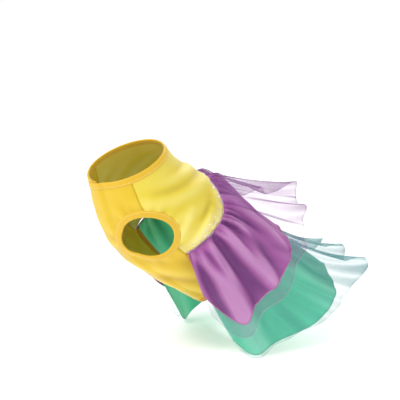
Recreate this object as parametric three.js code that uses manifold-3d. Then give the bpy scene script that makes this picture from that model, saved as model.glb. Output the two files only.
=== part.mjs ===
// A small dress in the shape that it takes when it is worn: a satin bodice that wraps the chest
// and closes in front, and two gathered skirt tiers, each a satin skirt under a stiff sheer
// overskirt. Millimetres, +Z up, the neck towards -X, the left
// side towards -Y. The origin is the seat on the shoulders, inside the back panel's centre line.
import * as THREE from "three";
import { mergeVertices } from "three/addons/utils/BufferGeometryUtils.js";
import Module from "manifold-3d";

// Driving sizes of the body form that the dress is cut for.
const torsoLength = 165; // along the centre line, from the neck edge to the end of the belly form
const chestDepth = 118; // back to breastbone at the widest section
const chestWidth = 110; // side to side at the widest section
const backPitch = 38; // degrees that the back falls towards the tail
const withersShare = 0.12; // share of the torso length where the dress sits on the withers

// Cloth, tapes and gaps.
const satinWall = 1.2; // the bodice's satin and its lining
const skirtWall = 1.0; // a skirt layer
const seamGap = 0.3; // clearance between pieces that are sewn together
const layerPitch = 1.4; // from one gathered layer to the next in the waist seam
const layerSpread = 1.3; // and how much further apart they lie once they hang free
const seamZone = 20; // the stretch over which they part
const easeOff = 1.5; // ease between the body form and the waist seam
const tapeWidth = 6.5; // leg hole binding
const neckTapeWidth = 6;
const bellyTapeWidth = 5;
const tapeThickness = 2.2;
const pipingDiameter = 1.8;
const closureWall = 1.0; // hook and loop strip
const closureWidth = 12; // overlap of the two chest panels
const closureLength = 95;
const closureStart = 12; // from the neck edge to the strip
const closureGap = 0.5; // between the strip and each panel

// Skirt lengths at the centre of the back, and how far each layer may stand off the body.
const upperSkirtLength = 112;
const lowerSkirtLength = 190;
const upperSheerExtra = 0; // the upper sheer layer is cut as long as its satin
const lowerSheerExtra = 8;
const upperPuff = 15; // deepest fold of the upper satin
const lowerPuff = 10;
const upperSag = 18; // how far its hem hangs below the line of its folds
const lowerSag = 4;
const upperFlare = 52; // the upper sheer layer's stand-off at its hem
const lowerFlare = 44;

// Where the panels meet, in degrees round the body from the centre of the back.
const sideSeamAngle = 116;
const skirtEndAngle = 114;
const overlapRise = satinWall + closureWall + 2 * closureGap; // the left panel lies over the right
const overlapFrom = 158; // the left panel starts to rise here
const overlapFull = 167;
const leftEdgeAngle = 184; // the left panel's free edge, just past the centre of the chest

// Body sections from the neck edge to the belly: x and z of the centre as shares of torsoLength,
// pitch in degrees, back and breast radii as shares of chestDepth, side radius of chestWidth.
const sections = [
  { at: 0.0, x: -0.255, z: -0.103, pitch: 68, back: 0.373, breast: 0.348, side: 0.364 },
  { at: 0.18, x: -0.2, z: -0.242, pitch: 60, back: 0.432, breast: 0.385, side: 0.427 },
  { at: 0.4, x: -0.079, z: -0.382, pitch: 51, back: 0.486, breast: 0.465, side: 0.482 },
  { at: 0.6, x: 0.073, z: -0.509, pitch: 46, back: 0.49, breast: 0.483, side: 0.5 },
  { at: 0.8, x: 0.261, z: -0.667, pitch: 42, back: 0.485, breast: 0.449, side: 0.5 },
  { at: 1.0, x: 0.479, z: -0.83, pitch: 39, back: 0.475, breast: 0.415, side: 0.5 },
];

// The waist seam's place along the torso, by the angle round the body.
const waistSeam = [
  { angle: 0, along: 0.52 },
  { angle: 20, along: 0.55 },
  { angle: 34, along: 0.605 },
  { angle: 44, along: 0.64 },
  { angle: 55, along: 0.658 },
  { angle: 80, along: 0.648 },
  { angle: 98, along: 0.63 },
  { angle: 118, along: 0.61 },
];

// The belly flap's rear edge.
const bellyEdge = [
  { angle: 116, along: 0.62 },
  { angle: 124, along: 0.73 },
  { angle: 134, along: 0.85 },
  { angle: 150, along: 0.93 },
  { angle: 170, along: 0.955 },
  { angle: 200, along: 0.95 },
];

// The leg hole: its centre and half sizes on the body, as share of torsoLength and degrees.
const legHole = { along: 0.375, angle: 131, halfAlong: 0.19, halfAngle: 35 };

// How the skirts hang, from the centre of the back (0) to the front edge (1): fall is the turn
// in degrees from the tailward direction towards the belly, lift the rise per millimetre, and
// sag the share of a layer's sag that shows.
const drape = [
  { at: 0.0, fallSeam: 0, fallHem: 0, liftSeam: -0.06, liftHem: 0.03, sag: 1.0 },
  { at: 0.2, fallSeam: 0, fallHem: 0, liftSeam: -0.04, liftHem: 0.05, sag: 1.0 },
  { at: 0.4, fallSeam: 3, fallHem: 6, liftSeam: 0.0, liftHem: 0.1, sag: 0.8 },
  { at: 0.6, fallSeam: 8, fallHem: 18, liftSeam: 0.04, liftHem: 0.16, sag: 0.5 },
  { at: 0.8, fallSeam: 17, fallHem: 33, liftSeam: 0.06, liftHem: 0.22, sag: 0.3 },
  { at: 0.9, fallSeam: 23, fallHem: 28, liftSeam: 0.07, liftHem: 0.22, sag: 0.2 },
  { at: 1.0, fallSeam: 34, fallHem: 0, liftSeam: 0.07, liftHem: 0.2, sag: 0.2 },
];

// Skirt lengths round the hem, as shares of the length at the centre of the back.
const hemShape = [
  { at: 0.0, upper: 1.0, lower: 1.0, upperSheer: 0.8, lowerSheer: 0.97 },
  { at: 0.2, upper: 0.98, lower: 1.0, upperSheer: 0.77, lowerSheer: 1.03 },
  { at: 0.4, upper: 0.92, lower: 0.94, upperSheer: 0.66, lowerSheer: 0.95 },
  { at: 0.6, upper: 0.84, lower: 0.85, upperSheer: 0.71, lowerSheer: 0.82 },
  { at: 0.8, upper: 0.84, lower: 0.75, upperSheer: 0.8, lowerSheer: 0.73 },
  { at: 0.9, upper: 0.83, lower: 0.73, upperSheer: 0.83, lowerSheer: 0.7 },
  { at: 0.96, upper: 0.64, lower: 0.66, upperSheer: 0.76, lowerSheer: 0.64 },
  { at: 1.0, upper: 0.4, lower: 0.56, upperSheer: 0.58, lowerSheer: 0.56 },
];

// Ridges and valleys of the folds at the hem, from the right front edge (-1) over the back to the
// left front edge (1). Each rise is a share of the layer's puff or flare.
const lowerFolds = [
  { at: -1.0, rise: 0.2 },
  { at: -0.9, rise: 0.75 },
  { at: -0.74, rise: 0.3 },
  { at: -0.55, rise: 0.9 },
  { at: -0.36, rise: 0.3 },
  { at: -0.18, rise: 0.8 },
  { at: 0.0, rise: 0.25 },
  { at: 0.14, rise: 0.7 },
  { at: 0.3, rise: 0.3 },
  { at: 0.5, rise: 0.75 },
  { at: 0.7, rise: 0.45 },
  { at: 0.85, rise: 0.95 },
  { at: 0.94, rise: 0.3 },
  { at: 1.0, rise: 0.1 },
];
const lowerSheerFolds = [
  { at: -1.0, rise: 0.3 },
  { at: -0.88, rise: 0.15 },
  { at: -0.72, rise: 0.55 },
  { at: -0.56, rise: 0.2 },
  { at: -0.4, rise: 0.85 },
  { at: -0.24, rise: 0.3 },
  { at: -0.08, rise: 0.6 },
  { at: 0.02, rise: 0.4 },
  { at: 0.11, rise: 0.68 },
  { at: 0.2, rise: 0.42 },
  { at: 0.3, rise: 0.88 },
  { at: 0.44, rise: 0.3 },
  { at: 0.58, rise: 0.4 },
  { at: 0.72, rise: 0.22 },
  { at: 0.86, rise: 0.4 },
  { at: 1.0, rise: 0.15 },
];
const upperFolds = [
  { at: -1.0, rise: 0.3 },
  { at: -0.86, rise: 0.95 },
  { at: -0.74, rise: 0.15 },
  { at: -0.6, rise: 0.85 },
  { at: -0.46, rise: 0.15 },
  { at: -0.32, rise: 0.6 },
  { at: -0.2, rise: 0.1 },
  { at: -0.08, rise: 0.5 },
  { at: 0.03, rise: 0.15 },
  { at: 0.15, rise: 0.45 },
  { at: 0.28, rise: 0.2 },
  { at: 0.42, rise: 0.85 },
  { at: 0.53, rise: 0.1 },
  { at: 0.64, rise: 0.75 },
  { at: 0.73, rise: 0.1 },
  { at: 0.86, rise: 1.0 },
  { at: 0.94, rise: 0.2 },
  { at: 1.0, rise: 0.3 },
];
const upperSheerFolds = [
  { at: -1.0, rise: 0.3 },
  { at: -0.88, rise: 0.65 },
  { at: -0.74, rise: 0.35 },
  { at: -0.6, rise: 0.6 },
  { at: -0.46, rise: 0.3 },
  { at: -0.34, rise: 0.5 },
  { at: -0.22, rise: 0.26 },
  { at: -0.09, rise: 0.48 },
  { at: 0.03, rise: 0.34 },
  { at: 0.15, rise: 0.9 },
  { at: 0.24, rise: 0.55 },
  { at: 0.33, rise: 0.86 },
  { at: 0.42, rise: 0.56 },
  { at: 0.52, rise: 0.8 },
  { at: 0.62, rise: 0.5 },
  { at: 0.72, rise: 0.72 },
  { at: 0.82, rise: 0.45 },
  { at: 0.91, rise: 0.62 },
  { at: 1.0, rise: 0.3 },
];

// How fine the faceted solids are.
const skirtColumns = 54;
const skirtRows = 7;
const rowCrowding = 1.35; // rows lie closer together near the seam
const roundSteps = 28;

// A smooth curve through a table's rows: cubic pieces whose slopes come from the rows beside.
function curve(table, key, column, x) {
  const xs = table.map((row) => row[key]);
  const ys = table.map((row) => row[column]);
  const last = xs.length - 1;
  const slope = (i) => {
    if (i === 0) return (ys[1] - ys[0]) / (xs[1] - xs[0]);
    if (i === last) return (ys[last] - ys[last - 1]) / (xs[last] - xs[last - 1]);
    const before = xs[i] - xs[i - 1];
    const after = xs[i + 1] - xs[i];
    const rise = before * before * ys[i + 1] + (after * after - before * before) * ys[i];
    return (rise - after * after * ys[i - 1]) / (before * after * (before + after));
  };
  let i = 0;
  while (i < last - 1 && x >= xs[i + 1]) i += 1;
  const h = xs[i + 1] - xs[i];
  const t = THREE.MathUtils.clamp((x - xs[i]) / h, -0.5, 1.5);
  const a = 2 * t ** 3 - 3 * t ** 2 + 1;
  const b = t ** 3 - 2 * t ** 2 + t;
  const c = t ** 3 - t ** 2;
  return a * ys[i] + b * h * slope(i) + (1 - a) * ys[i + 1] + c * h * slope(i + 1);
}

const smooth = (low, high, x) => THREE.MathUtils.smoothstep(x, low, high);
const radians = THREE.MathUtils.degToRad;

// A point of the body form at a share of the torso and an angle from the centre of the back.
function bodyPoint(share, angle) {
  const at = (column) => curve(sections, "at", column, share);
  const pitch = radians(at("pitch"));
  const c = Math.cos(radians(angle));
  const s = Math.sin(radians(angle));
  const rise = (c > 0 ? at("back") : at("breast")) * chestDepth * c;
  return new THREE.Vector3(
    at("x") * torsoLength + Math.sin(pitch) * rise,
    -at("side") * chestWidth * s,
    at("z") * torsoLength + Math.cos(pitch) * rise,
  );
}

// The form's outward normal, from small steps along and round the body.
function bodyNormal(share, angle) {
  const step = 0.001;
  const turn = 0.2;
  const along = bodyPoint(share + step, angle).sub(bodyPoint(share - step, angle));
  const round = bodyPoint(share, angle + turn).sub(bodyPoint(share, angle - turn));
  return round.cross(along).normalize();
}

const onBody = (share, angle, off) =>
  bodyPoint(share, angle).addScaledVector(bodyNormal(share, angle), off);

const waistShare = (angle) => curve(waistSeam, "angle", "along", Math.abs(angle));
const bellyShare = (angle) => curve(bellyEdge, "angle", "along", Math.abs(angle));

// A closed geometry from vertices and quads; its faces are turned outwards if need be.
function closedGeometry(points, quads) {
  const positions = [];
  let volume = 0;
  const faces = [];
  for (const [a, b, c, d] of quads) {
    faces.push([a, b, c]);
    if (d !== undefined) faces.push([a, c, d]);
  }
  for (const [a, b, c] of faces) {
    volume += points[a].dot(new THREE.Vector3().crossVectors(points[b], points[c]));
  }
  for (const face of faces) {
    const order = volume < 0 ? [face[0], face[2], face[1]] : face;
    for (const i of order) positions.push(points[i].x, points[i].y, points[i].z);
  }
  const geometry = new THREE.BufferGeometry();
  geometry.setAttribute("position", new THREE.Float32BufferAttribute(positions, 3));
  return geometry;
}

// A wall: two faces over one grid of columns and rows, closed by four rims.
function wallGeometry(columns, rows, pointAt) {
  const points = [];
  const index = (i, j, face) => (i * (rows + 1) + j) * 2 + face;
  for (let i = 0; i <= columns; i += 1) {
    for (let j = 0; j <= rows; j += 1) {
      points.push(pointAt(i / columns, j / rows, 0), pointAt(i / columns, j / rows, 1));
    }
  }
  const quads = [];
  const quad = (a, b, c, d) => quads.push([a, b, c, d]);
  for (let i = 0; i < columns; i += 1) {
    for (let j = 0; j < rows; j += 1) {
      quad(index(i, j, 1), index(i + 1, j, 1), index(i + 1, j + 1, 1), index(i, j + 1, 1));
      quad(index(i, j, 0), index(i, j + 1, 0), index(i + 1, j + 1, 0), index(i + 1, j, 0));
    }
    quad(index(i, 0, 0), index(i + 1, 0, 0), index(i + 1, 0, 1), index(i, 0, 1));
    quad(index(i, rows, 0), index(i, rows, 1), index(i + 1, rows, 1), index(i + 1, rows, 0));
  }
  for (let j = 0; j < rows; j += 1) {
    quad(index(0, j, 0), index(0, j, 1), index(0, j + 1, 1), index(0, j + 1, 0));
    const i = columns;
    quad(index(i, j, 0), index(i, j + 1, 0), index(i, j + 1, 1), index(i, j, 1));
  }
  return closedGeometry(points, quads);
}

// A section carried along a path of frames, closed on itself or with capped ends.
function sweepGeometry(frames, section, closed) {
  const points = [];
  for (const { point, side, normal } of frames) {
    for (const [across, off] of section) {
      points.push(point.clone().addScaledVector(side, across).addScaledVector(normal, off));
    }
  }
  const n = section.length;
  const last = closed ? frames.length : frames.length - 1;
  const quads = [];
  for (let i = 0; i < last; i += 1) {
    const a = i * n;
    const b = ((i + 1) % frames.length) * n;
    for (let k = 0; k < n; k += 1) {
      const m = (k + 1) % n;
      quads.push([a + k, a + m, b + m, b + k]);
    }
  }
  if (!closed) {
    const end = (frames.length - 1) * n;
    for (let k = 1; k < n - 1; k += 1) {
      quads.push([0, k + 1, k]);
      quads.push([end, end + k, end + k + 1]);
    }
  }
  return closedGeometry(points, quads);
}

// Frames along a curve on the body: the side vector lies in the cloth, across the curve.
function bodyFrames(place, steps, closed, offAt) {
  const at = (u) => {
    const { share, angle } = place(u);
    return onBody(share, angle, offAt(share, angle));
  };
  const step = 0.25 / steps;
  const frames = [];
  const count = closed ? steps : steps + 1;
  for (let i = 0; i < count; i += 1) {
    const u = i / steps;
    const { share, angle } = place(u);
    const low = closed ? u - step : Math.max(0, u - step);
    const high = closed ? u + step : Math.min(1, u + step);
    const tangent = at(high).sub(at(low)).normalize();
    const normal = bodyNormal(share, angle);
    const side = new THREE.Vector3().crossVectors(tangent, normal).normalize();
    frames.push({ point: at(u), side, normal });
  }
  return frames;
}

// A folded tape's section: a flat bar with bevelled edges that starts a gap from the cloth.
function tapeSection(width, from) {
  const half = tapeThickness / 2;
  return [
    [from, 0],
    [from + half, -half],
    [from + width - half, -half],
    [from + width, 0],
    [from + width - half, half],
    [from + half, half],
  ];
}

// How far a chest panel is raised where it lies over the other: only the left one is.
const overlapLift = (angle) => overlapRise * smooth(overlapFrom, overlapFull, angle);

// The leg hole's outline, as a closed path on the left side or, mirrored, on the right.
const legPlace = (side) => (u) => ({
  share: legHole.along + legHole.halfAlong * Math.cos(2 * Math.PI * u),
  angle: side * (legHole.angle + legHole.halfAngle * Math.sin(2 * Math.PI * u)),
});

const wasm = await Module();
wasm.setup();

function solidOf(geometry) {
  const merged = mergeVertices(geometry, 1e-4);
  return new wasm.Manifold(
    new wasm.Mesh({
      numProp: 3,
      vertProperties: merged.attributes.position.array,
      triVerts: new Uint32Array(merged.index.array),
    }),
  );
}

function geometryOf(solid) {
  const { vertProperties, triVerts, numProp } = solid.getMesh();
  const geometry = new THREE.BufferGeometry();
  const positions = new Float32Array((vertProperties.length / numProp) * 3);
  for (let i = 0; i < positions.length / 3; i += 1) {
    for (let k = 0; k < 3; k += 1) positions[i * 3 + k] = vertProperties[i * numProp + k];
  }
  geometry.setAttribute("position", new THREE.BufferAttribute(positions, 3));
  geometry.setIndex(new THREE.BufferAttribute(triVerts, 1));
  return geometry;
}

// The plug that cuts a leg hole: the outline swept through the wall, with a point at each end.
function legCutter(side) {
  const reach = 14;
  const place = legPlace(side);
  const points = [];
  for (let i = 0; i < roundSteps; i += 1) {
    const { share, angle } = place(i / roundSteps);
    points.push(onBody(share, angle, -reach), onBody(share, angle, reach));
  }
  const inner = points.length;
  points.push(onBody(legHole.along, side * legHole.angle, -reach));
  points.push(onBody(legHole.along, side * legHole.angle, reach));
  const quads = [];
  for (let i = 0; i < roundSteps; i += 1) {
    const a = i * 2;
    const b = ((i + 1) % roundSteps) * 2;
    quads.push([a, a + 1, b + 1, b]);
    quads.push([inner, a, b]);
    quads.push([inner + 1, b + 1, a + 1]);
  }
  return solidOf(closedGeometry(points, quads));
}

const leftCutter = legCutter(1);
const rightCutter = legCutter(-1);

// The back panel: over the back from side seam to side seam, from the neck to the waist.
function backPanel() {
  const reach = sideSeamAngle - seamGap;
  const wall = wallGeometry(30, 6, (u, v, face) => {
    const angle = (2 * u - 1) * reach;
    return onBody(v * waistShare(angle), angle, face * satinWall);
  });
  return geometryOf(solidOf(wall).subtract(leftCutter).subtract(rightCutter));
}

// A chest panel: from the side seam to the middle of the chest, from the neck to the belly edge.
const rightEdgeAngle =
  leftEdgeAngle - 360 - THREE.MathUtils.radToDeg(closureWidth / (chestDepth / 2));
function chestPanel(side) {
  const from = sideSeamAngle + seamGap;
  const to = side > 0 ? leftEdgeAngle : -rightEdgeAngle;
  const wall = wallGeometry(11, 10, (u, v, face) => {
    const angle = from + (to - from) * u;
    const lift = side > 0 ? overlapLift(angle) : 0;
    return onBody(v * bellyShare(angle), side * angle, face * satinWall + lift);
  });
  return geometryOf(solidOf(wall).subtract(side > 0 ? leftCutter : rightCutter));
}

// The hook and loop strip between the overlapping panels.
function closureStrip() {
  const from = closureStart / torsoLength;
  const to = from + closureLength / torsoLength;
  const half = THREE.MathUtils.radToDeg(closureWidth / 2 / (chestDepth / 2));
  const middle = leftEdgeAngle - half - 2;
  return wallGeometry(2, 7, (u, v, face) =>
    onBody(
      from + (to - from) * v,
      middle + (2 * u - 1) * half * 0.8,
      satinWall + closureGap + face * closureWall,
    ),
  );
}

// The neck binding runs from the left panel's edge over the back to the right panel's edge.
function neckBinding() {
  const place = (u) => ({ share: 0, angle: leftEdgeAngle + (rightEdgeAngle - leftEdgeAngle) * u });
  const off = (share, angle) => satinWall / 2 + overlapLift(angle);
  const frames = bodyFrames(place, roundSteps, false, off);
  const section = tapeSection(neckTapeWidth, seamGap).map(([across, o]) => [-across, o]);
  return sweepGeometry(frames, section, false);
}

function legBinding(side) {
  const off = (share, angle) => satinWall / 2 + (side > 0 ? overlapLift(angle) : 0);
  const frames = bodyFrames(legPlace(side), roundSteps, true, off);
  const section = tapeSection(tapeWidth, seamGap).map(([across, o]) => [across * side, o]);
  return sweepGeometry(frames, section, true);
}

function bellyBinding(side) {
  const to = side > 0 ? leftEdgeAngle : -rightEdgeAngle;
  const from = sideSeamAngle + seamGap;
  const place = (u) => {
    const angle = from + (to - from) * u;
    return { share: bellyShare(angle), angle: side * angle };
  };
  const off = (share, angle) => satinWall / 2 + (side > 0 ? overlapLift(angle) : 0);
  const section = tapeSection(bellyTapeWidth, seamGap).map(([across, o]) => [-across * side, o]);
  return sweepGeometry(bodyFrames(place, 14, false, off), section, false);
}

// The piping in the waist seam.
function waistPiping() {
  const place = (u) => {
    const angle = (2 * u - 1) * (skirtEndAngle + 1);
    return { share: waistShare(angle), angle };
  };
  const radius = pipingDiameter / 2;
  const centre = seamGap + radius;
  const section = [];
  for (let k = 0; k < 6; k += 1) {
    const turn = (2 * Math.PI * k) / 6;
    section.push([-centre - radius * Math.cos(turn), radius * Math.sin(turn)]);
  }
  const frames = bodyFrames(place, 38, false, () => satinWall / 2);
  return sweepGeometry(frames, section, false);
}

// The skirts hang from the seam on one common surface. tail is the way to the tail, up the
// way out of the back; a point starts at the seam and runs down, drifts and rises.
const tail = new THREE.Vector3(Math.cos(radians(backPitch)), 0, -Math.sin(radians(backPitch)));
const up = new THREE.Vector3(Math.sin(radians(backPitch)), 0, Math.cos(radians(backPitch)));
const left = new THREE.Vector3(0, -1, 0);

function drapePoint(at, down, off) {
  const side = at < 0 ? -1 : 1;
  const share = Math.abs(at);
  const angle = share * skirtEndAngle;
  const c = Math.cos(radians(angle));
  const s = Math.sin(radians(angle));
  const row = (column) => curve(drape, "at", column, share);
  const out = up.clone().multiplyScalar(c).addScaledVector(left, side * s);
  const round = up.clone().multiplyScalar(-s).addScaledVector(left, side * c);
  const reach = down / (2 * drapeReach);
  const fall = radians(row("fallSeam") + (row("fallHem") - row("fallSeam")) * reach);
  const rise = down * (row("liftSeam") + (row("liftHem") - row("liftSeam")) * reach);
  return onBody(waistShare(angle), side * angle, easeOff)
    .addScaledVector(tail, down * Math.cos(fall))
    .addScaledVector(round, down * Math.sin(fall))
    .addScaledVector(out, rise + off);
}
const drapeReach = 200; // the length over which fall and lift turn from seam to hem values
const frontLift = 5; // the skirts' front ends lie on the belly flap's bound edge
const frontFrom = 0.75;

// The four layers, from the body outwards.
const layers = [
  {
    name: "lower_skirt",
    colour: 0x86ceb6,
    length: lowerSkirtLength,
    hem: "lower",
    folds: lowerFolds,
    depth: lowerPuff,
    bloom: 0.8,
    sag: lowerSag,
  },
  {
    name: "lower_overskirt",
    colour: 0xb9dcd8,
    length: lowerSkirtLength + lowerSheerExtra,
    hem: "lowerSheer",
    folds: lowerSheerFolds,
    depth: lowerFlare,
    bloom: 4,
    sag: 0,
  },
  {
    name: "upper_skirt",
    colour: 0xaf63a5,
    length: upperSkirtLength,
    hem: "upper",
    folds: upperFolds,
    depth: upperPuff,
    bloom: 0.6,
    sag: upperSag,
  },
  {
    name: "upper_overskirt",
    colour: 0xd3b4d6,
    length: upperSkirtLength + upperSheerExtra,
    hem: "upperSheer",
    folds: upperSheerFolds,
    depth: upperFlare,
    bloom: 1.25,
    sag: 0,
  },
];

const hemLength = (layer, at) => layer.length * curve(hemShape, "at", layer.hem, Math.abs(at));

// A layer's own height over the common surface: the stack in the seam, then folds that bloom
// with the share of its length run, and a sag towards the hem.
function ownHeight(index, at, down) {
  const layer = layers[index];
  const frontRise = frontLift * smooth(frontFrom, 1, Math.abs(at));
  const inSeam = (index - layers.length + 1) * layerPitch + seamGap * 2;
  const settle = smooth(0, seamZone, down);
  const run = THREE.MathUtils.clamp(down / hemLength(layer, at), 0, 1);
  const sag = layer.sag * curve(drape, "at", "sag", Math.abs(at));
  const fold = curve(layer.folds, "at", "rise", at) * layer.depth * run ** layer.bloom;
  return inSeam + settle * index * layerSpread + frontRise + fold - sag * run ** 3;
}

// Each layer rests on the one beneath: it lies at its own height or a pitch above the other.
function layerHeight(index, at, down) {
  const own = ownHeight(index, at, down);
  if (index === 0) return own;
  const under = layerHeight(index - 1, at, down) + layerPitch + layerSpread * smooth(0, seamZone, down);
  const soft = 1.2; // width of the blend between the two
  const d = THREE.MathUtils.clamp((own - under) / soft, -1, 1);
  return Math.max(own, under) + (soft / 4) * (1 - Math.abs(d)) ** 2;
}

function skirtLayer(index) {
  const layer = layers[index];
  const start = pipingDiameter + 2 * seamGap + satinWall / 4;
  return wallGeometry(skirtColumns, skirtRows, (u, v, face) => {
    const at = 2 * u - 1;
    const down = start + (hemLength(layer, at) - start) * v ** rowCrowding;
    return drapePoint(at, down, layerHeight(index, at, down) + (face - 1) * skirtWall);
  });
}

const dress = new THREE.Group();
const seated = new THREE.Group();
seated.position.copy(bodyPoint(withersShare, 0)).negate();
dress.add(seated);

function addPiece(name, geometry, colour, roughness) {
  const material = new THREE.MeshStandardMaterial({ color: colour, roughness, metalness: 0 });
  const mesh = new THREE.Mesh(geometry, material);
  mesh.name = name;
  seated.add(mesh);
}

const yellow = 0xe6c93f;
const gold = 0xe0b12c;
addPiece("back_panel", backPanel(), yellow, 0.45);
addPiece("chest_panel_left", chestPanel(1), yellow, 0.45);
addPiece("chest_panel_right", chestPanel(-1), yellow, 0.45);
addPiece("closure_strip", closureStrip(), 0xd8c060, 0.9);
addPiece("neck_binding", neckBinding(), gold, 0.5);
addPiece("leg_binding_left", legBinding(1), gold, 0.5);
addPiece("leg_binding_right", legBinding(-1), gold, 0.5);
addPiece("belly_binding_left", bellyBinding(1), gold, 0.5);
addPiece("belly_binding_right", bellyBinding(-1), gold, 0.5);
addPiece("waist_piping", waistPiping(), 0xd9cfe0, 0.3);
layers.forEach((layer, index) => addPiece(layer.name, skirtLayer(index), layer.colour, 0.5));

export default dress;
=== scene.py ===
# %% [markdown]
# # A small satin dress with two gathered tiers
# The dress has a yellow satin bodice with bound openings, and two skirt tiers in a waist seam: each
# is a satin skirt under a stiff sheer one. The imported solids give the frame, in metres, and every
# piece of cloth that is made here takes the place of its plain solid.

# %% Load the frame
import math

import bmesh
import bpy
import numpy as np
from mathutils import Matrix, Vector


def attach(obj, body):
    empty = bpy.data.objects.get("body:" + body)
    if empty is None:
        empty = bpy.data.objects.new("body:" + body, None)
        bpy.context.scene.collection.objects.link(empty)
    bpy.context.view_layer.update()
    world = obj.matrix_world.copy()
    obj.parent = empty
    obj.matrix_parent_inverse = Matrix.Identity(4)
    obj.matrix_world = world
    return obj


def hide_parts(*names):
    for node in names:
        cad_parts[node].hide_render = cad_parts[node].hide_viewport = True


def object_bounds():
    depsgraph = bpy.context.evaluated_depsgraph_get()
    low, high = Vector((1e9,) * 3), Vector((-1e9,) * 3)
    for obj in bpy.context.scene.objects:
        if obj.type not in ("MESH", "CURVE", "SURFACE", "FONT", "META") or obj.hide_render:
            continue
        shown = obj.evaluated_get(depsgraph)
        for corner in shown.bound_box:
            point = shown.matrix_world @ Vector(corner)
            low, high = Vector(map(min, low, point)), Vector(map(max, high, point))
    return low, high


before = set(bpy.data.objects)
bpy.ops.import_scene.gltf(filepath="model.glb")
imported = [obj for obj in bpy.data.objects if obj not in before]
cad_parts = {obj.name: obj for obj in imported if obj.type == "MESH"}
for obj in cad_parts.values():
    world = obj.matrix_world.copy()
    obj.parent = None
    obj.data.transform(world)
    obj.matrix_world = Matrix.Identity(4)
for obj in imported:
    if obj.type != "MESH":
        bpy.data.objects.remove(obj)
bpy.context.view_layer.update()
MM = 0.001

# %% [markdown]
# ## The camera
# A long lens a good way off keeps the dress free of strong perspective. Its place follows from
# three facts: the direction of view, the scale, and the pixel where the frame's origin shows.

# %% Set the camera
VIEW_AZIMUTH = math.radians(-33)
VIEW_ELEVATION = math.radians(16)
VIEW_DISTANCE = 1.9
PIXEL_SIZE = 1.03 * MM
PICTURE_SIDE = 400
ORIGIN_PIXEL = np.array([168, 153])
SENSOR_WIDTH = 36.0


def add(name, data):
    """Makes an object from its data and links it to the scene."""
    made = bpy.data.objects.new(name, data)
    bpy.context.collection.objects.link(made)
    return made


towards = np.array(
    [
        math.sin(VIEW_AZIMUTH) * math.cos(VIEW_ELEVATION),
        -math.cos(VIEW_AZIMUTH) * math.cos(VIEW_ELEVATION),
        math.sin(VIEW_ELEVATION),
    ]
)
rightwards = np.array([math.cos(VIEW_AZIMUTH), math.sin(VIEW_AZIMUTH), 0.0])
upwards = np.cross(towards, rightwards)
aside, below = (PICTURE_SIDE / 2 - ORIGIN_PIXEL) * PIXEL_SIZE
aim = rightwards * aside - upwards * below
camera_data = bpy.data.cameras.new("camera")
camera_data.sensor_width = SENSOR_WIDTH
camera_data.lens = SENSOR_WIDTH * VIEW_DISTANCE / (PICTURE_SIDE * PIXEL_SIZE)
camera = add("camera", camera_data)
place = np.eye(4)
place[:3, 0], place[:3, 1], place[:3, 2] = rightwards, upwards, towards
place[:3, 3] = aim + towards * VIEW_DISTANCE
camera.matrix_world = place.T.tolist()
bpy.context.scene.camera = camera
print("lens", round(camera_data.lens, 1), "mm, aimed at", aim.round(4))

# %% [markdown]
# ## The form under the cloth
# Dressmakers work on a form. This one is a row of oval sections from the neck edge to the belly,
# and a smooth curve through each column gives every section in between. A point of the form is
# named by its share of the length and by its angle round the body from the middle of the back.

# %% Describe the form
FORM_LENGTH = 165 * MM
FORM_DEPTH = 118 * MM
FORM_WIDTH = 110 * MM
SEAT_SHARE = 0.12


def columns(names, rows):
    """A table as a dictionary: each name gives that column as an array."""
    return dict(zip(names.split(), np.array(rows, float).T))


SECTIONS = columns(
    "at x z pitch back breast side",
    [
        (0.00, -0.255, -0.103, 68, 0.373, 0.348, 0.364),
        (0.18, -0.200, -0.242, 60, 0.432, 0.385, 0.427),
        (0.40, -0.079, -0.382, 51, 0.486, 0.465, 0.482),
        (0.60, 0.073, -0.509, 46, 0.490, 0.483, 0.500),
        (0.80, 0.261, -0.667, 42, 0.485, 0.449, 0.500),
        (1.00, 0.479, -0.830, 39, 0.475, 0.415, 0.500),
    ],
)
WAIST = columns(
    "angle along",
    [(0, 0.52), (20, 0.55), (34, 0.605), (44, 0.64), (55, 0.658), (80, 0.648), (98, 0.63), (118, 0.61)],
)
BELLY = columns(
    "angle along",
    [(116, 0.62), (124, 0.73), (134, 0.85), (150, 0.93), (170, 0.955), (200, 0.95)],
)


def curve(table, key, column, x):
    """Cubic pieces through a table's rows: each row's slope comes from the rows beside it."""
    xs, ys = table[key], table[column]
    slopes = np.gradient(ys, xs)
    i = np.clip(np.searchsorted(xs, x, side="right") - 1, 0, len(xs) - 2)
    h = xs[i + 1] - xs[i]
    t = np.clip((x - xs[i]) / h, -0.5, 1.5)
    a = 2 * t**3 - 3 * t**2 + 1
    start = a * ys[i] + (t**3 - 2 * t**2 + t) * h * slopes[i]
    return start + (1 - a) * ys[i + 1] + (t**3 - t**2) * h * slopes[i + 1]


def smooth(low, high, x):
    """0 below low, 1 above high, and an S-curve between: 3t^2 - 2t^3."""
    t = np.clip((x - low) / (high - low), 0, 1)
    return t * t * (3 - 2 * t)


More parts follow.
